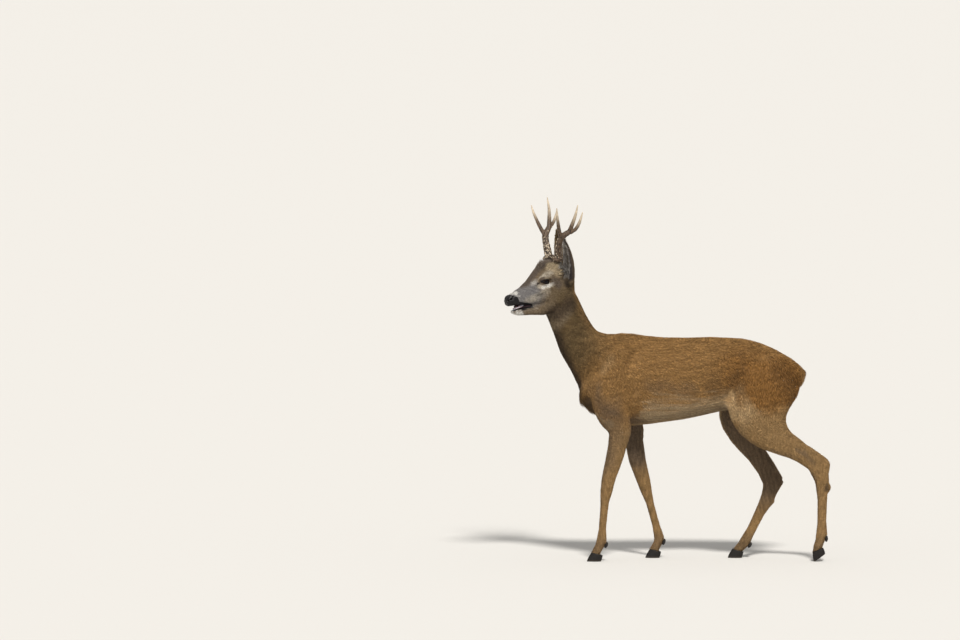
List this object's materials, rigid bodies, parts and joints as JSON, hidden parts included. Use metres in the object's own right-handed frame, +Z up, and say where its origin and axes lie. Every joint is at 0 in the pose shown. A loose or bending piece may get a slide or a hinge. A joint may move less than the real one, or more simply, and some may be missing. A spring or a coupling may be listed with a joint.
{
  "type": "roe deer buck",
  "caption": "Life-size roe buck in red summer coat, walking with head raised and turned a little to its left, mouth slightly open, antlers branched.",
  "frame": {"origin": "on the floor, under the middle of the buck's bounding box", "axes": "+Z up, -X the way the buck walks, -Y the buck's own left side"},
  "size_m": [1.0076, 0.227, 1.1153],
  "materials": {
    "coat": "short reddish brown summer hair, soft satin sheen along the lie of the coat",
    "face": "very short grey-brown face hair, matt",
    "leg": "short ochre-tan leg hair, matt",
    "ear": "dark brown short hair outside, pale long hair inside",
    "eye": "near-black wet eyeball with a clear gloss",
    "antler": "hard dark brown antler bone, rough and pearled on the beams, polished ivory at the tips",
    "horn": "black hoof horn, slightly worn, low sheen",
    "tongue": "moist pink tongue"
  },
  "bodies": {
    "root": {"antler_left_beam": "antler", "antler_left_front_tine": "antler", "antler_left_rear_tine": "antler", "antler_left_top_tine": "antler", "antler_right_beam": "antler", "antler_right_front_tine": "antler", "antler_right_rear_tine": "antler", "antler_right_top_tine": "antler", "dewclaw_fore_left_inner": "horn", "dewclaw_fore_left_outer": "horn", "dewclaw_fore_right_inner": "horn", "dewclaw_fore_right_outer": "horn", "dewclaw_hind_left_inner": "horn", "dewclaw_hind_left_outer": "horn", "dewclaw_hind_right_inner": "horn", "dewclaw_hind_right_outer": "horn", "ear_left": "ear", "ear_right": "ear", "eye_left": "eye", "eye_right": "eye", "foreleg_left_lower": "leg", "foreleg_left_upper": "coat", "foreleg_right_lower": "leg", "foreleg_right_upper": "coat", "head": "face", "hindleg_left_lower": "leg", "hindleg_left_shank": "leg", "hindleg_left_thigh": "coat", "hindleg_right_lower": "leg", "hindleg_right_shank": "leg", "hindleg_right_thigh": "coat", "hoof_fore_left_inner": "horn", "hoof_fore_left_outer": "horn", "hoof_fore_right_inner": "horn", "hoof_fore_right_outer": "horn", "hoof_hind_left_inner": "horn", "hoof_hind_left_outer": "horn", "hoof_hind_right_inner": "horn", "hoof_hind_right_outer": "horn", "lower_jaw": "face", "neck": "coat", "tail": "coat", "tongue": "tongue", "trunk": "coat"}
  },
  "joints": []
}
